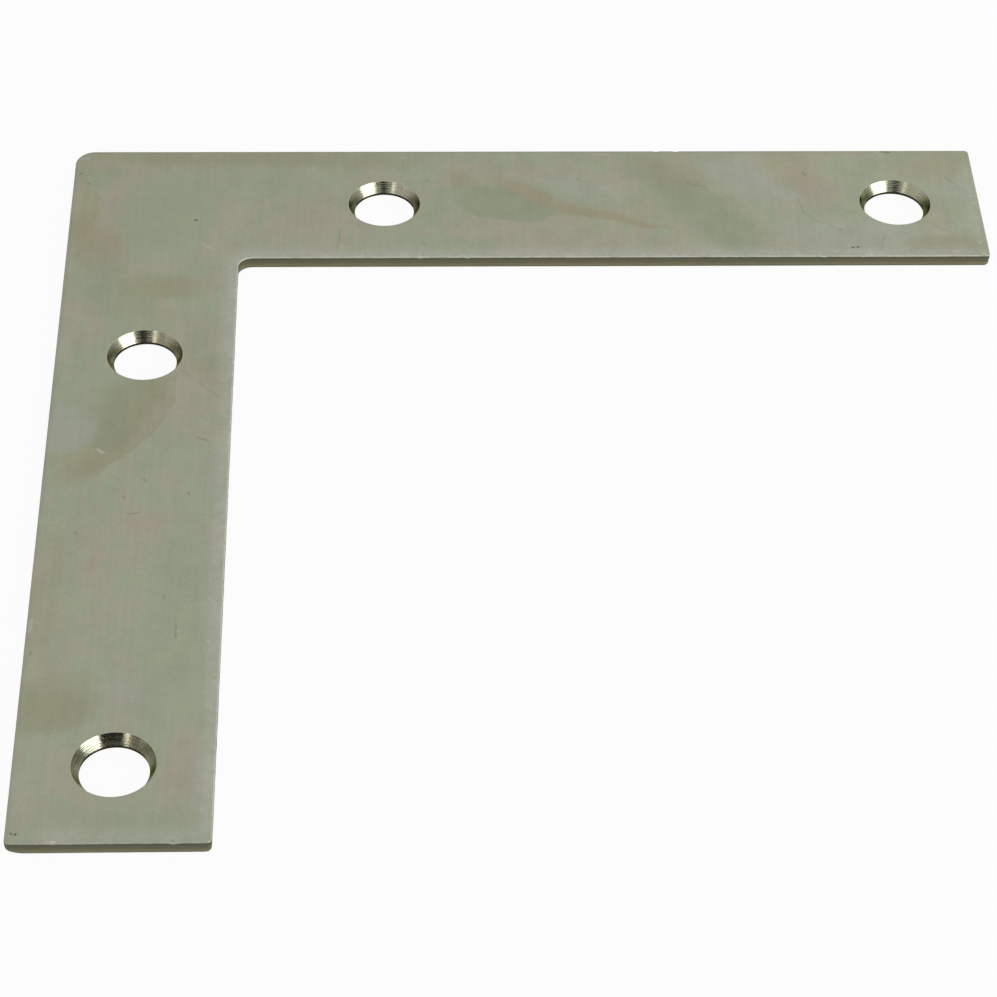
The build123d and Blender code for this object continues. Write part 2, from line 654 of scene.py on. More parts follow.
def rim_of(sizes):
    """The radius of the countersinks at the top face."""
    return sizes.screw_hole_radius + (sizes.thickness - sizes.straight_wall_height) * cone_slope(sizes)


def edge_distances(x, y, sizes, hole_radius):
    """How far points lie inside the outline, and outside the nearest hole."""
    half = sizes.arm_width / 2
    far = sizes.arm_length - half
    outer = np.minimum.reduce([x + half, far - x, y + far, half - y])

    # The outer corner is rounded, and so is the inner one
    radius = sizes.outer_corner_radius
    left, back = radius - half - x, y - half + radius
    outer = np.where((left > 0) & (back > 0), radius - np.hypot(left, back), outer)
    radius = sizes.inner_corner_radius
    left, back = half + radius - x, y + half + radius
    inner = np.hypot(np.maximum(left, 0), np.maximum(back, 0)) - radius
    holes = np.minimum.reduce([np.hypot(x - cx, y - cy) for cx, cy, _ in hole_centres(sizes)])
    return np.minimum(outer, inner), holes - hole_radius


def face_points(sizes, spacing, hole_radius, border):
    """Evenly spread points over a face, clear of its borders."""
    row_spacing = spacing * math.sqrt(3) / 2
    rows = np.arange(-sizes.arm_length, sizes.arm_width, row_spacing)
    columns = np.arange(-sizes.arm_width / 2, sizes.arm_length, spacing)
    x, y = np.meshgrid(columns, rows)
    x = x + (np.arange(len(rows)) % 2)[:, None] * spacing / 2
    outline, holes = edge_distances(x, y, sizes, hole_radius)
    clear = spacing * BORDER_CLEARANCE
    kept = (outline - border > clear) & (holes - FACE_MARGIN > clear)
    return np.column_stack([x[kept], y[kept]])


def with_mark_points(points, marks):
    """Replaces the points near each mark by rings of closer ones."""
    for across, along, radius, _ in marks:
        centre = np.array([across, along]) * MM
        reach = radius * MM
        points = points[np.hypot(*(points - centre).T) > MARK_CLEARANCE * reach]
        rings = [centre[None]]
        for ring, count in MARK_RINGS:
            angles = np.arange(count) * math.tau / count + ring
            rings.append(centre + ring * reach * np.column_stack([np.cos(angles), np.sin(angles)]))
        points = np.vstack([points, *rings])
    return points


def fill_face(bm, height, sizes, points, hole_radius, upwards):
    """Fills the face between the outline's band and the holes' margins."""
    edges = [
        edge for edge in bm.edges
        if edge.is_boundary and all(abs(vert.co.z - height) < ON_PLANE for vert in edge.verts)
    ]
    border = list(dict.fromkeys(vert for edge in edges for vert in edge.verts))
    number = {vert: index for index, vert in enumerate(border)}
    flat = [Vector((vert.co.x / MM, vert.co.y / MM)) for vert in border]
    flat += [Vector((x / MM, y / MM)) for x, y in points]
    pairs = [(number[edge.verts[0]], number[edge.verts[1]]) for edge in edges]
    places, _, faces, sources, _, _ = delaunay_2d_cdt(flat, pairs, [], INSIDE_ONLY, WELD)
    verts = []
    for place, origin in zip(places, sources):
        known = [index for index in origin if index < len(border)]
        if known:
            verts.append(border[known[0]])
        else:
            verts.append(bm.verts.new((place.x * MM, place.y * MM, height)))
    ring = hole_radius + FACE_MARGIN + ON_PLANE
    for face in faces:
        corners = [verts[index] for index in face]
        x = np.array([vert.co.x for vert in corners])
        y = np.array([vert.co.y for vert in corners])
        in_hole = any(np.all(np.hypot(x - cx, y - cy) < ring) for cx, cy, _ in hole_centres(sizes))
        if not in_hole:
            bm.faces.new(corners if upwards else corners[::-1])
    unused = [vert for vert in dict.fromkeys(verts) if not vert.link_faces]
    bmesh.ops.delete(bm, geom=unused, context="VERTS")


def roll_corners(places, sizes):
    """Lifts the underside at the ends' corners, where the press drew the metal in."""
    half = sizes.arm_width / 2
    far = sizes.arm_length - half
    corners = (
        ((-half, -far), 1.05 * MM, 1.9 * MM),
        ((half, -far), 0.40 * MM, 0.9 * MM),
        ((far, -half), 0.35 * MM, 0.8 * MM),
        ((far, half), 0.45 * MM, 1.0 * MM),
    )
    for corner, height, reach in corners:
        near = np.clip(1 - np.hypot(*(places[:, :2] - corner).T) / reach, 0, 1)
        lift = height * (1 - np.sqrt(1 - near * near))
        places[:, 2] = lift + places[:, 2] * (1 - lift / sizes.thickness)


def press_marks(places, sizes, marks):
    """Pushes pits and nicks into the top, deepest at their middle."""
    for across, along, radius, depth in marks:
        away = np.hypot(places[:, 0] - across * MM, places[:, 1] - along * MM) / (radius * MM)
        bowl = np.clip(1 - away * away, 0, 1) ** 2
        upper = np.clip(places[:, 2] / sizes.thickness * 2 - 1, 0, 1)
        places[:, 2] -= depth * MM * bowl * upper


def edge_band(sizes, even_spacing, face, wall):
    """The pressed edge round the plate."""
    return made_by(pressed_edge_tree(even_spacing, face, wall), [(0, 0, 0)], {
        "Arm Length": sizes.arm_length,
        "Arm Width": sizes.arm_width,
        "Thickness": sizes.thickness,
        "Outer Corner": sizes.outer_corner_radius,
        "Inner Corner": sizes.inner_corner_radius,
        "End Corners": sizes.end_corner_radius,
        "Top Edge": sizes.top_edge_radius,
        "Underside Edge": sizes.underside_edge_radius,
        "Top Margin": FACE_MARGIN,
        "Underside Margin": UNDERSIDE_MARGIN,
        "Spacing": OUTLINE_SPACING,
        "Wall Spacing": EDGE_WALL_SPACING,
        "Fracture Depth": sizes.fracture_depth,
        "Edge Unevenness": sizes.edge_unevenness,
    })


def four_countersinks(sizes, even_spacing, face, cone):
    """The countersinks, each at its place."""
    return made_by(countersink_tree(even_spacing, face, cone), hole_centres(sizes), {
        "Thickness": sizes.thickness,
        "Screw Hole": sizes.screw_hole_radius,
        "Straight Wall": sizes.straight_wall_height,
        "Cone Slope": cone_slope(sizes),
        "Rim Edge": sizes.rim_edge_radius,
        "Foot Edge": sizes.foot_edge_radius,
        "Face Margin": FACE_MARGIN,
        "Row Spacing": CONE_ROW_SPACING,
        "Wall Spacing": SINK_WALL_SPACING,
        "Turning Pitch": sizes.turning_pitch,
        "Turning Depth": sizes.turning_depth,
        "Seed": 5,
    })


def wear_down(mesh, sizes):
    """Marks how far each point lies from the edge, then presses in the marks and lifts the corners."""
    places = np.empty(len(mesh.vertices) * 3)
    mesh.vertices.foreach_get("co", places)
    places = places.reshape(-1, 3)
    outline, _ = edge_distances(places[:, 0], places[:, 1], sizes, rim_of(sizes))
    nearest = mesh.attributes.new("edge_distance", "FLOAT", "POINT")
    nearest.data.foreach_set("value", (outline / MM).astype(np.float32))
    press_marks(places, sizes, PITS + NICKS)
    roll_corners(places, sizes)
    mesh.vertices.foreach_set("co", places.ravel())


def plate_mesh(sizes, materials):
    """The whole plate as one closed mesh."""
    face, wall, cone = materials
    even_spacing = even_spacing_tree()
    band = edge_band(sizes, even_spacing, face, wall)
    sinks = four_countersinks(sizes, even_spacing, face, cone)
    bm = bmesh.new()
    for part in (band, sinks):
        order = [materials.index(material) if material else 0 for material in part.materials]
        for polygon in part.polygons:
            polygon.material_index = order[polygon.material_index]
        bm.from_mesh(part)
        bpy.data.meshes.remove(part)
    bmesh.ops.remove_doubles(bm, verts=bm.verts, dist=ON_PLANE)
    rim = rim_of(sizes)
    hole = sizes.screw_hole_radius
    top_border = sizes.top_edge_radius + FACE_MARGIN
    under_border = sizes.underside_edge_radius + UNDERSIDE_MARGIN
    top_points = with_mark_points(face_points(sizes, TOP_SPACING, rim, top_border), PITS)
    under_points = face_points(sizes, UNDERSIDE_SPACING, hole, under_border)
    fill_face(bm, sizes.thickness, sizes, top_points, rim, True)
    fill_face(bm, 0.0, sizes, under_points, hole, False)
    bmesh.ops.recalc_face_normals(bm, faces=bm.faces)
    mesh = bpy.data.meshes.new("brace_plate")
    bm.to_mesh(mesh)
    bm.free()
    for material in materials:
        mesh.materials.append(material)
    wear_down(mesh, sizes)
    mesh.polygons.foreach_set("use_smooth", [True] * len(mesh.polygons))
    mesh.set_sharp_from_angle(angle=SHARP_ANGLE)
    mesh.update()
    return mesh


# Shared effects of the materials


def film_depth_group():
    """How thick the passivated film is, from 0 to 1, and a finer cloudiness."""
    tree, graph, given, result = new_group(
        "film_depth", "ShaderNodeTree",
        {"Place": "Vector", "Drift": "Vector"}, {"Depth": "Float", "Cloud": "Float"},
    )
    place = graph.vector("ADD", given["Place"], given["Drift"])
    warped = graph.warped(place, 20, 1.5, 22.0)
    broad = graph.noise(warped, 1 / 15, 2.0, 0.45)[0]
    depth = graph.ease(broad, 0.28, 0.72, -0.06, 0.10)
    depth = graph.math("MULTIPLY_ADD", graph.noise(warped, 1 / 4, 3.0, 0.5)[0], 0.38, depth)
    rolled = graph.vector("MULTIPLY", warped, (1.0, 0.4, 1.0))
    depth = graph.math("MULTIPLY_ADD", graph.noise(rolled, 1 / 1.5, 4.0, 0.6)[0], 0.45, depth)
    graph.feed(result["Depth"], depth)
    graph.feed(result["Cloud"], graph.noise(place, 1 / 3, 4.0, 0.55)[0])
    return tree


def film_colour_group(finish):
    """The colour that the film shows at each thickness, as on a soap bubble."""
    tree, graph, given, result = new_group(
        "film_colour", "ShaderNodeTree", {"Depth": "Float"}, {"Color": "Color"}
    )
    ramp = graph.add("ShaderNodeValToRGB", {"Fac": given["Depth"]})
    set_stops(ramp.color_ramp, (
        (0.16, finish.straw),
        (0.27, finish.zinc),
        (0.38, finish.green),
        (0.47, finish.zinc),
        (0.60, finish.rose),
        (0.74, finish.brown),
    ))
    graph.feed(result["Color"], ramp.outputs[0])
    return tree


def set_stops(ramp, stops):
    """Sets the colours of a ramp."""
    while len(ramp.elements) < len(stops):
        ramp.elements.new(0.5)
    for element, (position, tint) in zip(ramp.elements, stops):
        element.position = position
        element.color = (*tint, 1.0)


def stain_group():
    """A soft patch: oval, or narrower at one end, and softer along one side."""
    tree, graph, given, result = new_group(
        "stain", "ShaderNodeTree",
        {"Place": "Vector", "Centre": "Vector", "Turn": "Vector", "Reach": "Vector", "Taper": "Float",
         "Softness": "Float", "Softer Side": "Float"},
        {"Mask": "Float"},
    )
    inputs = {
        "Vector": given["Place"],
        "Location": given["Centre"],
        "Rotation": given["Turn"],
        "Scale": given["Reach"],
    }
    x, y, z = graph.split(graph.add("ShaderNodeMapping", inputs, vector_type="TEXTURE").outputs[0])
    width = graph.math("SUBTRACT", 1.0, graph.product(x, given["Taper"]))
    y = graph.math("DIVIDE", y, graph.math("MAXIMUM", width, 0.1))
    away = graph.vector("LENGTH", graph.combine(x, y, z))
    side = graph.math("MAXIMUM", graph.math("MULTIPLY_ADD", y, given["Softer Side"], 1.0), 0.25)
    softness = graph.math("MINIMUM", graph.product(given["Softness"], side), 0.95)
    inner = graph.math("SUBTRACT", 1.0, softness)
    outer = graph.math("ADD", 1.0, softness)
    graph.feed(result["Mask"], graph.ease(away, inner, outer, 1.0, 0.0))
    return tree


def scratch_group():
    """A fine straight mark with fading sides."""
    tree, graph, given, result = new_group(
        "scratch", "ShaderNodeTree",
        {"Place": "Vector", "Start": "Vector", "End": "Vector", "Width": "Float"}, {"Mask": "Float"},
    )
    run = graph.vector("SUBTRACT", given["End"], given["Start"])
    away = graph.vector("SUBTRACT", given["Place"], given["Start"])
    along = graph.vector("DOT_PRODUCT", away, run)
    reach = graph.math("DIVIDE", along, graph.vector("DOT_PRODUCT", run, run))
    within = graph.add("ShaderNodeClamp", {"Value": reach}).outputs[0]
    distance = graph.vector("DISTANCE", away, graph.vector("SCALE", run, scale=within))
    inner = graph.product(given["Width"], 0.3)
    graph.feed(result["Mask"], graph.ease(distance, inner, given["Width"], 1.0, 0.0))
    return tree


def grain_group():
    """Fine grain of the metal, as a height and as an uneven shine."""
    tree, graph, given, result = new_group(
        "metal_grain", "ShaderNodeTree",
        {"Place": "Vector", "Stretch": "Vector", "Size": "Float"}, {"Height": "Float", "Shine": "Float"},
    )
    place = graph.vector("MULTIPLY", given["Place"], given["Stretch"])
    scale = graph.math("DIVIDE", 1.0, given["Size"])
    fine = graph.noise(place, scale, 3.0, 0.6)[0]
    broad = graph.noise(place, graph.math("MULTIPLY", scale, 0.12), 3.0, 0.55)[0]
    graph.feed(result["Height"], fine)
    graph.feed(result["Shine"], graph.ease(broad, 0.3, 0.7, -1.0, 1.0))
    return tree


def wear_group():
    """Scuffs and specks, thickest along the edges."""
    tree, graph, given, result = new_group(
        "edge_wear", "ShaderNodeTree",
        {"Place": "Vector", "Edge": "Float", "Reach": "Float"},
        {"Scuff": "Float", "Speck": "Float", "Haze": "Float"},
    )
    near = graph.ease(given["Edge"], given["Reach"], 0.0)
    rough = graph.noise(given["Place"], 1 / 0.8, 4.0, 0.65)[0]
    scuff_limit = graph.math("MULTIPLY_ADD", near, -0.22, 0.74)
    scuff = graph.ease(rough, scuff_limit, graph.math("ADD", scuff_limit, 0.05))
    elsewhere = graph.vector("ADD", given["Place"], (31.0, 17.0, 5.0))
    dots = graph.noise(elsewhere, 1 / 0.55, 2.0, 0.5)[0]
    speck_limit = graph.math("MULTIPLY_ADD", near, -0.05, 0.80)
    speck = graph.ease(dots, speck_limit, graph.math("ADD", speck_limit, 0.03))
    patches = graph.ease(graph.noise(given["Place"], 1 / 4, 2.0)[0], 0.3, 0.6, 0.6, 0.9)
    mottle = graph.ease(rough, 0.35, 0.60, 0.75, 1.0)
    haze = graph.product(near, mottle, patches)
    for name, value in (("Scuff", scuff), ("Speck", speck), ("Haze", haze)):
        graph.feed(result[name], value)
    return tree


# Materials

# Metal of the faces, of their pale line (partly painted highlight) and of the cut wall
FACE_METAL = 0.9
WEAR_AND_HIGHLIGHT_METAL = 0.1
WALL_METAL = 0.85

# Half the height of a patch of the film (mm)
STAIN_HEIGHT = 0.9

# Patches of the film: across, along, half length, half width (mm), turn (degrees), taper towards
# the far end, softness, softer side, colour, share. Later ones lie over earlier ones.
STAINS = (
    (37.0, 3.4, 5.5, 2.4, -20, 0.0, 0.60, 0.0, "rose", 0.40),
    (34.4, 3.4, 2.6, 1.2, -60, 0.0, 0.55, 0.0, "brown", 0.70),
    (39.4, -0.4, 6.4, 2.9, -14, 0.25, 0.20, 1.0, "deep", 1.00),
    (40.4, 0.2, 4.4, 1.8, -22, 0.10, 0.60, 0.0, "olive", 0.25),
    (42.2, 1.5, 6.0, 1.05, -30, 0.0, 0.50, 0.0, "brown", 0.95),
    (50.0, -2.2, 7.6, 0.90, -19, 0.45, 0.35, 0.3, "brown", 1.00),
    (46.0, -1.2, 4.0, 0.80, -18, 0.20, 0.50, 0.0, "olive", 0.40),
    (47.2, 2.8, 4.8, 2.0, -15, 0.0, 0.65, 0.0, "pale", 0.60),
    (43.0, 5.6, 7.0, 1.0, -3, 0.0, 0.60, 0.0, "rose", 0.40),
    (35.4, -4.6, 3.4, 1.6, 0, 0.0, 0.65, 0.0, "rose", 0.60),
    (55.2, 0.2, 2.0, 3.2, -20, 0.0, 0.60, 0.0, "straw", 0.50),
    (61.2, -1.4, 12.4, 3.1, -52, 0.0, 0.28, -0.7, "deep", 0.95),
    (64.4, 0.0, 10.0, 1.1, -54, 0.0, 0.60, 0.0, "straw", 0.45),
    (57.6, 5.0, 3.8, 2.2, -40, 0.0, 0.60, 0.0, "brown", 0.55),
    (67.8, -6.6, 3.4, 1.8, -45, 0.0, 0.55, 0.0, "brown", 0.40),
    (67.2, 4.2, 5.6, 3.2, -35, 0.0, 0.60, 0.0, "pale", 0.90),
    (75.5, -5.8, 7.5, 2.8, 0, 0.0, 0.60, 0.0, "pale", 0.75),
    (81.5, -6.0, 5.0, 2.4, 0, 0.0, 0.60, 0.0, "pale", 0.50),
    (70.0, 5.4, 3.4, 1.6, -75, 0.0, 0.55, 0.0, "straw", 0.60),
    (73.5, 3.6, 4.4, 2.6, -62, 0.0, 0.40, 0.5, "rose", 0.85),
    (72.6, 4.8, 4.6, 2.2, -60, 0.0, 0.50, 0.0, "brown", 0.30),
    (78.0, 6.4, 3.4, 2.0, 0, 0.0, 0.65, 0.0, "green", 0.60),
    (90.0, -0.5, 5.6, 2.4, 90, 0.0, 0.60, 0.0, "green", 0.75),
    (89.5, 2.6, 2.2, 2.0, 90, 0.0, 0.65, 0.0, "pale", 0.60),
    (88.4, 6.4, 4.4, 2.2, 0, 0.0, 0.65, 0.0, "brown", 0.55),
    (87.8, -8.3, 5.4, 2.7, 0, 0.0, 0.28, -0.4, "olive", 0.60),
    (0.4, -1.4, 10.2, 7.2, 75, 0.0, 0.24, 0.0, "rose", 0.90),
    (1.4, -2.2, 8.8, 5.9, 75, 0.0, 0.26, 0.0, "green", 0.95),
    (2.0, -1.0, 6.4, 4.2, 75, 0.0, 0.60, 0.0, "deep", 0.25),
    (-7.8, -3.0, 5.4, 1.3, 85, 0.0, 0.50, 0.0, "brown", 0.90),
    (-5.8, -7.4, 3.6, 2.4, 70, 0.0, 0.50, 0.0, "brown", 0.85),
    (5.0, 8.4, 13.0, 1.5, -2, 0.0, 0.60, 0.0, "olive", 0.75),
    (-7.2, 6.0, 3.0, 2.2, 60, 0.0, 0.60, 0.0, "olive", 0.60),
    (-7.7, -0.3, 2.0, 1.0, 80, 0.0, 0.60, 0.0, "straw", 0.80),
    (-6.8, 7.0, 1.7, 1.0, 0, 0.0, 0.60, 0.0, "rose", 0.65),
    (-6.5, 4.0, 1.9, 1.3, 80, 0.0, 0.60, 0.0, "green", 0.75),
    (10.0, 3.2, 4.6, 2.6, -10, 0.0, 0.65, 0.0, "green", 0.45),
    (17.0, -3.0, 4.0, 2.6, 20, 0.0, 0.65, 0.0, "rose", 0.35),
    (21.5, 8.0, 7.5, 1.7, 0, 0.0, 0.60, 0.0, "olive", 0.50),
    (-5.0, -14.2, 5.6, 2.6, 100, 0.0, 0.55, 0.0, "deep", 0.60),
    (1.6, -14.6, 3.8, 1.6, -8, 0.0, 0.65, 0.5, "olive", 0.75),
    (2.6, -14.2, 2.2, 0.9, 5, 0.0, 0.60, 0.0, "brown", 0.60),
    (-1.0, -16.4, 4.6, 2.6, -60, 0.0, 0.60, 0.0, "straw", 0.50),
    (6.0, -25.0, 5.2, 2.3, 104, 0.0, 0.40, 0.0, "rose", 0.50),
    (6.0, -25.2, 4.0, 1.3, 104, 0.0, 0.45, 0.0, "deep", 0.60),
    (7.5, -30.2, 5.0, 0.9, 118, 0.0, 0.60, 0.0, "brown", 0.45),
    (-1.7, -36.4, 8.4, 3.2, 64, -0.35, 0.30, 0.9, "olive", 0.95),
    (-2.8, -34.6, 5.4, 1.7, 74, 0.0, 0.60, 0.0, "deep", 0.55),
    (1.1, -35.8, 5.0, 1.0, 66, 0.0, 0.55, 0.0, "rose", 0.45),
    (-5.4, -42.6, 3.6, 1.3, 35, 0.0, 0.55, 0.0, "brown", 0.60),
    (-6.8, -40.8, 2.4, 1.2, 20, 0.0, 0.55, 0.0, "straw", 0.80),
    (-8.4, -36.8, 3.9, 3.8, 0, 0.0, 0.14, 0.0, "pale", 0.60),
    (4.8, -34.2, 4.6, 1.8, 75, 0.0, 0.55, 0.0, "rose", 0.40),
    (5.2, -63.5, 17.0, 3.6, 90, 0.0, 0.55, 0.0, "green", 1.00),
    (7.8, -78.0, 1.6, 5.0, 0, 0.0, 0.60, 0.0, "green", 0.40),
    (1.2, -51.0, 3.0, 1.8, 15, 0.0, 0.60, 0.0, "rose", 0.85),
    (-7.8, -63.0, 10.5, 1.3, 88, 0.0, 0.55, 0.0, "brown", 0.40),
    (-6.4, -75.4, 4.6, 3.0, 20, 0.0, 0.55, 0.4, "olive", 0.85),
    (0.2, -73.8, 3.0, 2.6, 0, 0.0, 0.65, 0.0, "pale", 0.35),
    (6.2, -82.8, 5.0, 1.7, 80, 0.0, 0.55, 0.0, "rose", 0.85),
    (-7.4, -84.0, 3.4, 1.8, 80, 0.0, 0.65, 0.0, "green", 0.60),
    (-2.5, -89.5, 7.0, 2.0, 0, 0.0, 0.65, 0.0, "deep", 0.30),
)

# The same on the countersinks: across, along, radius, colour, share
CONE_STAINS = (
    (28.0, 1.8, 2.4, "rose", 0.95),
    (85.0, 1.6, 3.0, "straw", 0.85),
    (1.9, -22.9, 1.8, "brown", 0.90),
    (1.8, -80.0, 1.6, "brown", 0.90),
    (3.2, -82.0, 1.6, "straw", 0.70),
)

# Painted shade low on each flank of the countersinks: hole, side, share
PAINTED_FLANK_SHADE = (
    (0, -1, 0.40), (0, 1, 0.50),
    (1, -1, 0.20), (1, 1, 0.35),
    (2, -1, 0.20), (2, 1, 0.60),
    (3, -1, 0.10), (3, 1, 0.50),
)

# Those patches of painted shade: how far before the hole's middle, how high, how large (mm) and how soft
FLANK_FORWARD = 1.3
FLANK_LEVEL = 0.6
FLANK_REACH = (1.6, 2.0, 1.6)
FLANK_SOFTNESS = 0.6

# Scratches and specks: start and end (across, along), width (mm), share. A minus makes a dark one,
# and a share over 1 a painted glint on bare metal.
SCRATCHES = (
    ((-8.8, 8.1), (-8.1, 8.2), 0.25, 0.70),
    ((-8.75, 5.55), (-8.7, 5.4), 0.20, -0.48),
    ((-7.8, 3.7), (-7.75, 3.6), 0.16, -0.36),
    ((-6.35, 1.0), (-6.3, 0.9), 0.17, -0.30),
    ((4.45, -2.95), (4.55, -2.95), 0.22, -0.60),
    ((20.5, -4.5), (20.1, -9.4), 0.11, -0.21),
    ((27.6, 7.7), (27.3, 4.5), 0.10, -0.18),
    ((27.4, 8.3), (27.9, 8.2), 0.14, 0.60),
    ((30.1, 4.2), (30.4, 3.9), 0.16, -0.30),
    ((29.4, -7.1), (29.8, -7.3), 0.20, -0.18),
    ((5.2, -6.9), (6.6, -8.0), 0.30, 0.35),
    ((43.6, 9.0), (44.3, 9.05), 0.16, 0.60),
    ((47.0, 4.4), (47.3, 4.0), 0.16, -0.24),
    ((49.1, 8.8), (51.0, 8.75), 0.14, 0.55),
    ((59.4, 3.5), (61.6, 2.8), 0.13, -0.21),
    ((71.9, 0.8), (72.1, -1.7), 0.11, -0.21),
    ((72.1, -1.7), (73.9, -3.5), 0.11, -0.21),
    ((73.9, -3.5), (76.9, -5.3), 0.11, -0.18),
    ((72.8, 5.3), (73.1, 4.9), 0.18, -0.27),
    ((85.3, -3.1), (88.9, -5.9), 0.10, -0.21),
    ((89.0, 4.3), (91.7, 0.7), 0.10, -0.24),
    ((77.1, -7.9), (77.2, -7.9), 0.22, -0.78),
    ((77.6, -7.85), (77.7, -7.85), 0.20, -0.72),
    ((29.2, -9.25), (29.4, -9.3), 0.16, 1.50),
    ((78.9, -8.6), (79.0, -9.3), 0.12, 0.80),
    ((78.9, -9.25), (79.1, -9.3), 0.18, 1.50),
    ((80.9, -5.6), (79.7, -9.3), 0.10, -0.21),
    ((91.2, -7.0), (91.35, -7.4), 0.20, 0.80),
    ((91.3, -9.1), (91.7, -9.15), 0.14, 1.50),
    ((82.3, 9.15), (83.0, 9.2), 0.18, -0.48),
    ((81.4, 9.1), (82.1, 9.1), 0.14, 0.80),
    ((3.8, -27.7), (9.1, -33.0), 0.11, -0.21),
    ((-4.1, -39.9), (-3.5, -40.5), 0.22, 0.80),
    ((5.9, -38.2), (7.2, -38.9), 0.12, -0.30),
    ((0.9, -44.5), (1.1, -44.8), 0.18, -0.24),
    ((5.3, -46.3), (5.5, -46.7), 0.18, -0.27),
    ((-1.1, -46.9), (-0.9, -47.2), 0.16, -0.27),
    ((-0.3, -49.5), (1.0, -49.2), 0.12, -0.24),
    ((-5.6, -52.0), (-5.4, -52.3), 0.18, -0.21),
    ((3.7, -60.8), (3.8, -61.2), 0.18, -0.27),
    ((5.0, -65.0), (5.1, -66.5), 0.17, -0.27),
    ((8.8, -61.6), (9.0, -62.0), 0.16, -0.30),
    ((-9.0, -64.2), (-9.1, -65.6), 0.30, 0.70),
    ((-8.7, -68.3), (-8.8, -68.7), 0.16, -0.30),
    ((8.1, -66.9), (8.3, -67.4), 0.22, 0.55),
    ((-8.9, -90.9), (-8.85, -90.95), 0.20, -0.54),
    ((-8.5, -90.95), (-8.4, -91.0), 0.20, -0.72),
    ((5.9, -91.8), (6.0, -92.0), 0.22, -0.66),
    ((-5.0, -91.9), (-4.8, -91.95), 0.20, 1.40),
)


def new_material(name):
    """A metal material. Gives it with its graph, its shader and the place on the object (mm)."""
    material = bpy.data.materials.new(name)
    material.use_nodes = True
    graph = Graph(material.node_tree)
    shader = material.node_tree.nodes["Principled BSDF"]
    coordinates = graph.add("ShaderNodeTexCoord").outputs["Object"]
    return material, graph, shader, graph.vector("SCALE", coordinates, scale=1 / MM)


def bumped(graph, height, strength_share, depth):
    """A normal bumped by a height, which is a share of a depth."""
    inputs = {"Height": height, "Strength": strength_share, "Distance": depth}
    return graph.add("ShaderNodeBump", inputs).outputs[0]


def opaque(tint):
    """A colour with its alpha."""
    return (*tint, 1.0)


def toned(graph, shade, tone):
    """A colour made lighter or darker by a number."""
    return graph.blend(1.0, shade, graph.combine(tone, tone, tone), "MULTIPLY")


def film(graph, groups, place, drift):
    """The film at a place: its colour, and its cloudiness."""
    found = graph.place_group(groups["film_depth"], {"Place": place, "Drift": drift})
    shade = graph.place_group(groups["film_colour"], {"Depth": found["Depth"]})["Color"]
    return shade, found["Cloud"]


def stained(graph, groups, place, top, finish, shade):
    """A colour with the patches of the film over it."""
    for across, along, reach, width, turn, taper, softness, softer_side, tint, amount in STAINS:
        mask = graph.place_group(groups["stain"], {
            "Place": place, "Centre": (across, along, top), "Turn": (0.0, 0.0, math.radians(turn)),
            "Reach": (reach, width, STAIN_HEIGHT), "Taper": taper, "Softness": softness,
            "Softer Side": softer_side,
        })["Mask"]
        shade = graph.blend(graph.product(mask, amount), shade, opaque(getattr(finish, tint)))
    return shade


def scratched(graph, groups, place, top, finish, shade):
    """A colour with the scratches and specks over it, and a mask of the painted glint spots."""
    pale = 0.0
    dark = 0.0
    painted_glints = 0.0
    for start, end, width, amount in SCRATCHES:
        inputs = {"Place": place, "Start": (*start, top), "End": (*end, top), "Width": width}
        mask = graph.place_group(groups["scratch"], inputs)["Mask"]
        # Painted glint spots: bare metal drawn as a highlight
        if amount > 1:
            painted_glints = graph.math("MAXIMUM", mask, painted_glints)
        elif amount > 0:
            pale = graph.math("MULTIPLY_ADD", mask, amount, pale)
        else:
            dark = graph.math("MULTIPLY_ADD", mask, -amount, dark)
    shade = graph.blend(pale, shade, opaque(finish.bare))
    return graph.blend(dark, shade, opaque(finish.cut_dark_and_shade)), painted_glints


def worn(graph, groups, place, sizes, finish, shade):
    """A colour with the edges' wear and painted shade over it, a mask of their pale line, and one of the
    scuffs.
    """
    edge = graph.add("ShaderNodeAttribute", attribute_name="edge_distance").outputs["Fac"]
    across, along, _ = graph.split(place)
    half = sizes.arm_width / 2 / MM

    # The edges inside the corner get more haze, scuffs and pale line than the outer ones and the ends
    from_left = graph.math("ADD", across, half)
    from_back = graph.math("SUBTRACT", half, along)
    from_outside = graph.math("MINIMUM", from_left, from_back)
    along_arm = graph.math("MAXIMUM", across, graph.minus(along))
    from_end = graph.math("SUBTRACT", sizes.arm_length / MM - half, along_arm)
    wear_and_highlight = graph.ease(from_outside, 0.0, 5.0, 0.10, 0.75)
    wear_and_highlight = graph.product(wear_and_highlight, graph.ease(from_end, 0.2, 2.4, 0.45, 1.0))
    reach = graph.ease(from_outside, 0.0, 5.0, 0.7, 2.4)
    wear = graph.place_group(groups["wear"], {"Place": place, "Edge": edge, "Reach": reach})
    shade = graph.blend(graph.product(wear["Haze"], wear_and_highlight), shade, opaque(finish.bare))
    shade = graph.blend(graph.product(wear["Scuff"], wear_and_highlight, 0.35), shade, opaque(finish.bare))
    # Painted shade: a faint dark line along the edges, strongest on the outer ones
    outer_edge_shade = graph.product(graph.ease(edge, 0.7, 0.1, 0.0, 0.10), graph.math("SUBTRACT", 1.0, wear_and_highlight))
    shade = graph.blend(outer_edge_shade, shade, opaque(finish.cut_dark_and_shade))
    shade = graph.blend(graph.product(wear["Speck"], 0.4), shade, opaque(finish.cut_dark_and_shade))
    # The pale line along the top edge: partly wear, partly painted highlight
    broken = graph.ease(graph.noise(place, 1 / 0.9, 3.0, 0.6)[0], 0.36, 0.56, 0.35, 1.0)
    line = graph.product(graph.ease(edge, 0.17, 0.06), wear_and_highlight, broken)
    return shade, line, wear["Scuff"]


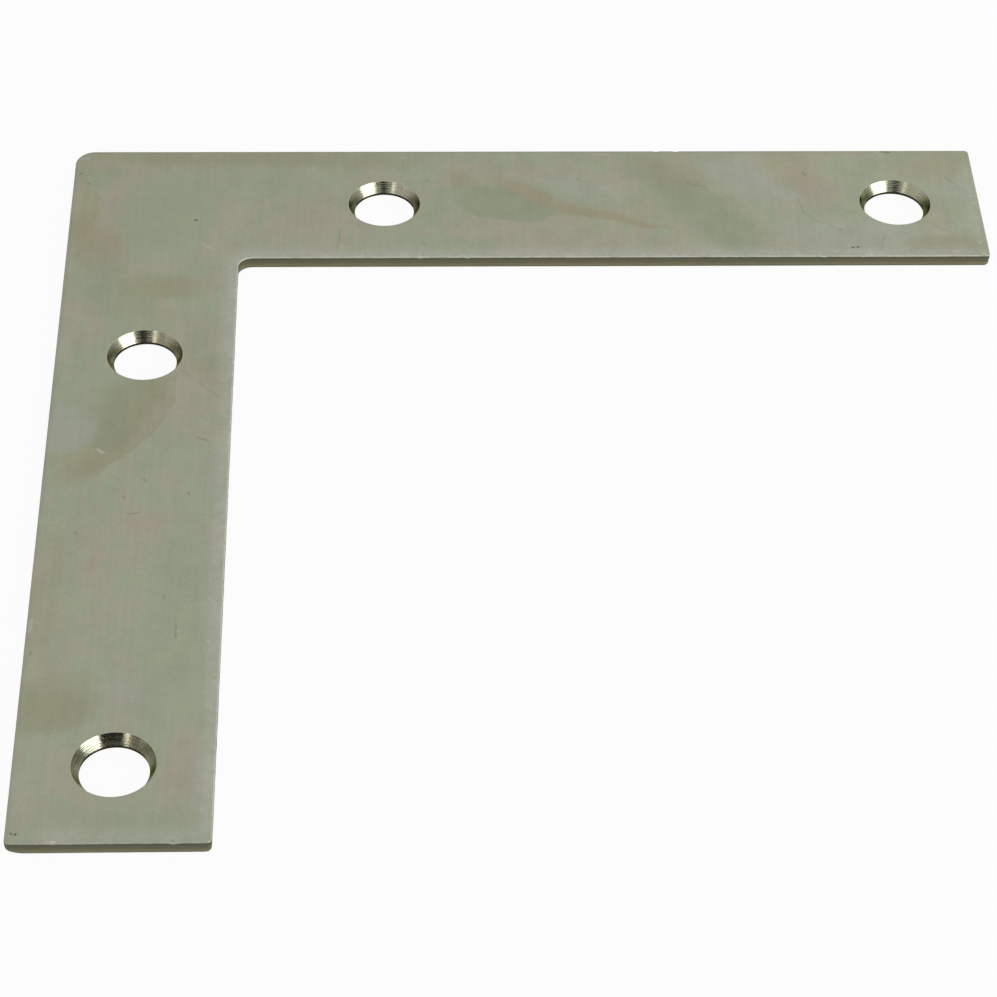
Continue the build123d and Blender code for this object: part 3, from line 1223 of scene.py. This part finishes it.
def face_material(sizes, finish, groups):
    """Satin plating of the two faces."""
    material, graph, shader, place = new_material("zinc_face")
    top = sizes.thickness / MM
    shade, cloud = film(graph, groups, place, (0.0, 0.0, 0.0))
    shade = stained(graph, groups, graph.warped(place, 5, 3.0, 2.2), top, finish, shade)
    wavy = graph.warped(place, 1.5, 2.0, 0.5)
    shade, painted_glints = scratched(graph, groups, wavy, top, finish, shade)
    shade, line, scuff = worn(graph, groups, place, sizes, finish, shade)
    line = graph.math("MAXIMUM", line, painted_glints)
    grain = graph.place_group(groups["grain"], {"Place": place, "Stretch": (1.0, 1.0, 1.0), "Size": 0.25})
    rolled = graph.vector("MULTIPLY", place, (1.0, 0.05, 1.0))
    streaks = graph.noise(rolled, 1 / 0.5, 3.0, 0.6)[0]
    tone = graph.product(
        graph.ease(grain["Height"], 0.2, 0.8, 0.955, 1.045),
        graph.ease(cloud, 0.25, 0.75, 0.965, 1.035),
        graph.ease(streaks, 0.25, 0.75, 0.975, 1.025),
    )
    # The pale line and the glint spots, partly wear and partly painted highlight, are pale and mostly not
    # metal
    shade = graph.blend(line, toned(graph, shade, tone), opaque(finish.wear_and_highlight))
    metal = graph.math("MULTIPLY_ADD", line, WEAR_AND_HIGHLIGHT_METAL - FACE_METAL, FACE_METAL)
    rough = graph.math("MULTIPLY_ADD", grain["Shine"], 0.03, finish.face_roughness)
    graph.feed(shader.inputs["Base Color"], shade)
    graph.feed(shader.inputs["Metallic"], metal)
    graph.feed(shader.inputs["Specular Tint"], opaque(finish.seen_low))
    graph.feed(shader.inputs["Roughness"], graph.math("MULTIPLY_ADD", scuff, -0.08, rough))
    graph.feed(shader.inputs["Normal"], bumped(graph, grain["Height"], 0.35, 0.006 * MM))
    return material


def wall_material(sizes, finish, groups):
    """The cut wall: burnished above, torn below, with streaks along it, and darkened by painted
    reflection.
    """
    material, graph, shader, place = new_material("sheared_edge")
    level = graph.math("DIVIDE", graph.split(place)[2], sizes.thickness / MM)
    inputs = {"Place": place, "Stretch": (0.12, 0.12, 2.5), "Size": 0.3}
    streaks = graph.place_group(groups["grain"], inputs)
    # Colour up the wall: the burnished and torn zones, darkened by painted reflection, darkest just under
    # the top edge and dark at the foot
    shifted = graph.math("MULTIPLY_ADD", streaks["Height"], 0.36, graph.math("SUBTRACT", level, 0.18))
    ramp = graph.add("ShaderNodeValToRGB", {"Fac": shifted})
    low, high = Vector(finish.cut_dark_and_shade), Vector(finish.cut_light)
    set_stops(ramp.color_ramp, (
        (0.0, low * 0.6),
        (0.10, low * 1.5),
        (0.27, high * 1.15),
        (0.40, high * 0.9),
        (0.55, (low + high) / 2),
        (0.78, low * 1.7),
        (0.90, low * 0.9),
        (1.0, low * 0.2),
    ))
    tinted, _ = film(graph, groups, place, (7.0, 3.0, 0.0))
    rough = graph.math("MULTIPLY_ADD", streaks["Shine"], 0.08, finish.cut_roughness)
    graph.feed(shader.inputs["Base Color"], graph.blend(0.12, ramp.outputs[0], tinted))
    graph.feed(shader.inputs["Metallic"], WALL_METAL)
    graph.feed(shader.inputs["Roughness"], rough)
    graph.feed(shader.inputs["Normal"], bumped(graph, streaks["Height"], 0.6, 0.02 * MM))
    return material


def plain_stain(graph, groups, place, centre, reach, softness):
    """A soft oval patch that isn't turned or tapered."""
    return graph.place_group(groups["stain"], {
        "Place": place, "Centre": centre, "Turn": (0.0, 0.0, 0.0), "Reach": reach, "Taper": 0.0,
        "Softness": softness, "Softer Side": 0.0,
    })["Mask"]


def cone_painted_shade(graph, groups, place, sizes):
    """Painted shade on the cones, as a factor: dark on each flank, at the straight wall and at its foot.
    """
    flank_shade = 1.0
    rim = rim_of(sizes) / MM
    centres = hole_centres(sizes)
    # Painted shade low on each flank of each countersink
    for hole, side, amount in PAINTED_FLANK_SHADE:
        x, y, _ = centres[hole]
        centre = (x / MM + side * rim, y / MM - FLANK_FORWARD, FLANK_LEVEL)
        mask = plain_stain(graph, groups, place, centre, FLANK_REACH, FLANK_SOFTNESS)
        flank_shade = graph.math("MULTIPLY_ADD", mask, -amount, flank_shade)
    # Painted shade down the straight wall inside the hole, less of it at the foot
    level = graph.split(place)[2]
    land_top = sizes.straight_wall_height / MM
    land = graph.ease(level, land_top, land_top + 0.03, 0.10, 1.0)
    foot = graph.ease(level, 0.25, 0.05, 0.0, 0.8)
    return graph.product(graph.math("MAXIMUM", land, foot), flank_shade)


def cone_material(sizes, finish, groups):
    """The turned cones: brighter, with the film's tints and the cutter's fine rings."""
    material, graph, shader, place = new_material("turned_cone")
    shade, _ = film(graph, groups, place, (-11.0, 23.0, 0.0))
    for across, along, reach, tint, amount in CONE_STAINS:
        mask = plain_stain(graph, groups, place, (across, along, 1.0), (reach, reach, 4.0), 0.5)
        shade = graph.blend(graph.product(mask, amount), shade, opaque(getattr(finish, tint)))
    vivid = graph.add("ShaderNodeHueSaturation", {"Saturation": 1.25, "Color": shade}).outputs[0]
    shade = graph.blend(0.65, opaque(finish.cone), vivid)
    inputs = {"Place": place, "Stretch": (0.15, 0.15, 1.0), "Size": 0.08}
    rings = graph.place_group(groups["grain"], inputs)
    inputs = {"Place": place, "Stretch": (1.0, 1.0, 1.0), "Size": 0.16}
    sparkle = graph.place_group(groups["grain"], inputs)
    tone = graph.ease(rings["Height"], 0.3, 0.7, 0.85, 1.1)
    # The cones' painted shade
    tone = graph.product(tone, cone_painted_shade(graph, groups, place, sizes))
    rough = graph.math("MULTIPLY_ADD", rings["Shine"], 0.04, finish.cone_roughness)
    height = graph.math("MULTIPLY_ADD", rings["Height"], 0.5, sparkle["Height"])
    graph.feed(shader.inputs["Base Color"], toned(graph, shade, tone))
    graph.feed(shader.inputs["Metallic"], 1.0)
    graph.feed(shader.inputs["Specular Tint"], opaque(finish.olive))
    graph.feed(shader.inputs["Roughness"], rough)
    graph.feed(shader.inputs["Normal"], bumped(graph, height, 0.5, 0.018 * MM))
    return material


# The stage

FLOOR_REACH = 6.0
FLOOR_LEVEL = -0.05 * MM

# Soft lamps: name, place, aim, size and watts
LAMPS = (
    ("side_lamp", (0.424, -0.314, 0.12), (0.02, -0.02, 0.12), (0.43, 0.22), 1.35),
    ("strip_lamp", (-0.234, -0.451, 0.12), (0.02, -0.02, 0.12), (0.06, 0.22), 0.08),
    ("back_lamp", (0.55, 0.70, 0.60), (0.02, -0.02, 0.0), (0.8, 0.5), 0.50),
)

# Grey cards that the metal mirrors: name, both ends of the foot, height and shade
CARDS = (
    ("front_card", (0.42, -0.62), (-0.235, -0.62), 0.235, 0.05),
    ("tall_card", (0.107, -0.36), (-0.03, -0.36), 0.20, 0.05),
    ("left_card", (-0.394, -0.536), (-0.539, -0.346), 0.13, 0.42),
)


def aimed(place, aim):
    """The turn that points an object's -Z axis from a place at an aim."""
    return (Vector(aim) - Vector(place)).to_track_quat("-Z", "Y").to_matrix().to_4x4()


def add_camera(studio):
    """The camera, at the angle from which the brace is seen."""
    data = bpy.data.cameras.new("camera")
    data.lens = studio.lens
    data.sensor_width = 36.0
    data.clip_start = 0.01
    data.clip_end = 20.0
    camera = bpy.data.objects.new("camera", data)
    place = Matrix.Translation(studio.camera_place)
    roll = Matrix.Rotation(studio.camera_roll, 4, "Z")
    camera.matrix_world = place @ aimed(studio.camera_place, studio.camera_aim) @ roll
    bpy.context.scene.collection.objects.link(camera)
    bpy.context.scene.camera = camera


def add_lamp(name, place, aim, size, power):
    """A soft rectangular lamp."""
    data = bpy.data.lights.new(name, "AREA")
    data.shape = "RECTANGLE"
    data.size, data.size_y = size
    data.energy = power
    lamp = bpy.data.objects.new(name, data)
    lamp.matrix_world = Matrix.Translation(place) @ aimed(place, aim)
    lamp.visible_camera = False
    bpy.context.scene.collection.objects.link(lamp)


def add_card(name, start, end, height, shade):
    """A grey card, stood on the floor, that the metal mirrors."""
    mesh = bpy.data.meshes.new(name)
    mesh.from_pydata([(*start, 0), (*end, 0), (*end, height), (*start, height)], [], [(0, 1, 2, 3)])
    material = bpy.data.materials.new(name)
    material.use_nodes = True
    shader = material.node_tree.nodes["Principled BSDF"]
    shader.inputs["Base Color"].default_value = (shade, shade, shade, 1.0)
    shader.inputs["Roughness"].default_value = 0.9
    mesh.materials.append(material)
    card = bpy.data.objects.new(name, mesh)
    card.visible_camera = False
    bpy.context.scene.collection.objects.link(card)


def shown_white(graph, straight=1.0, mirrored=1.0):
    """How white a thing is for what the camera sees straight, and in metal or through glass."""
    path = graph.add("ShaderNodeLightPath").outputs
    through = graph.math("MAXIMUM", path["Is Glossy Ray"], path["Is Transmission Ray"])
    direct = graph.math("MULTIPLY", path["Is Camera Ray"], straight)
    return graph.math("MAXIMUM", direct, graph.math("MULTIPLY", through, mirrored))


def add_floor(studio):
    """A plain white floor that keeps a soft shadow."""
    low, high = -FLOOR_REACH, FLOOR_REACH
    corners = [(x, y, FLOOR_LEVEL) for x, y in ((low, low), (high, low), (high, high), (low, high))]
    mesh = bpy.data.meshes.new("floor")
    mesh.from_pydata(corners, [], [(0, 1, 2, 3)])
    material = bpy.data.materials.new("floor_white")
    material.use_nodes = True
    graph = Graph(material.node_tree)
    shader = material.node_tree.nodes["Principled BSDF"]
    shader.inputs["Base Color"].default_value = (0.86, 0.86, 0.86, 1.0)
    shader.inputs["Roughness"].default_value = 0.8
    shader.inputs["Specular IOR Level"].default_value = 0.0
    glow = graph.add("ShaderNodeEmission", {"Strength": 1.0})
    white = shown_white(graph, studio.floor_glow, studio.mirrored_glow)
    mix = graph.add("ShaderNodeMixShader", {0: white, 1: shader.outputs[0], 2: glow.outputs[0]})

    # From below it isn't there, so that the underside can be seen
    backfacing = graph.add("ShaderNodeNewGeometry").outputs["Backfacing"]
    clear = graph.add("ShaderNodeBsdfTransparent").outputs[0]
    below = graph.add("ShaderNodeMixShader", {0: backfacing, 1: mix.outputs[0], 2: clear})
    graph.feed(material.node_tree.nodes["Material Output"].inputs["Surface"], below.outputs[0])
    mesh.materials.append(material)
    floor = bpy.data.objects.new("floor", mesh)
    bpy.context.scene.collection.objects.link(floor)


def light_room(studio):
    """A pale room, white where it is seen."""
    world = bpy.data.worlds.new("room")
    world.use_nodes = True
    graph = Graph(world.node_tree)
    background = world.node_tree.nodes["Background"]
    background.inputs["Color"].default_value = (1.0, 1.0, 1.0, 1.0)
    inputs = {"Value": shown_white(graph), "To Min": studio.room, "To Max": 1.0}
    level = graph.add("ShaderNodeMapRange", inputs).outputs[0]
    graph.feed(background.inputs["Strength"], level)
    bpy.context.scene.world = world


# Operators and the panel


class MakePlate(bpy.types.Operator):
    """Make the pressed and plated corner plate"""

    bl_idname = "brace.make_plate"
    bl_label = "Make Plate"
    bl_options = {"REGISTER", "UNDO"}

    def execute(self, context):
        sizes = context.scene.brace_sizes
        finish = context.scene.brace_finish
        groups = {
            "film_depth": film_depth_group(),
            "film_colour": film_colour_group(finish),
            "stain": stain_group(),
            "scratch": scratch_group(),
            "grain": grain_group(),
            "wear": wear_group(),
        }
        makers = (face_material, wall_material, cone_material)
        materials = [make(sizes, finish, groups) for make in makers]
        plate = bpy.data.objects.new("brace_plate", plate_mesh(sizes, materials))
        context.scene.collection.objects.link(plate)
        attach(plate, BODY)
        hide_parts(NODE)
        return {"FINISHED"}


class MakeStage(bpy.types.Operator):
    """Make the floor, the lamps and the camera"""

    bl_idname = "brace.make_stage"
    bl_label = "Make Stage"
    bl_options = {"REGISTER", "UNDO"}

    def execute(self, context):
        studio = context.scene.brace_studio
        add_camera(studio)
        add_floor(studio)
        light_room(studio)
        for lamp in LAMPS:
            add_lamp(*lamp)
        for card in CARDS:
            add_card(*card)
        context.scene.view_settings.view_transform = "Standard"
        return {"FINISHED"}


class BracePanel(bpy.types.Panel):
    """Sizes, finish and studio of the corner brace"""

    bl_idname = "BRACE_PT_panel"
    bl_label = "Corner Brace"
    bl_space_type = "VIEW_3D"
    bl_region_type = "UI"
    bl_category = "Brace"

    def draw(self, context):
        for title, settings, operator in (
            ("Plate", context.scene.brace_sizes, MakePlate),
            ("Finish", context.scene.brace_finish, None),
            ("Stage", context.scene.brace_studio, MakeStage),
        ):
            box = self.layout.box()
            box.label(text=title)
            for name in settings.__annotations__:
                box.prop(settings, name)
            if operator:
                box.operator(operator.bl_idname)


CLASSES = (BraceSizes, BraceFinish, BraceStudio, MakePlate, MakeStage, BracePanel)


def register():
    for each in CLASSES:
        bpy.utils.register_class(each)
    bpy.types.Scene.brace_sizes = PointerProperty(type=BraceSizes)
    bpy.types.Scene.brace_finish = PointerProperty(type=BraceFinish)
    bpy.types.Scene.brace_studio = PointerProperty(type=BraceStudio)


def unregister():
    for name in ("brace_studio", "brace_finish", "brace_sizes"):
        delattr(bpy.types.Scene, name)
    for each in reversed(CLASSES):
        bpy.utils.unregister_class(each)


def main():
    """Make everything."""
    register()
    bpy.ops.brace.make_stage()
    bpy.ops.brace.make_plate()


if __name__ == "__main__":
    main()
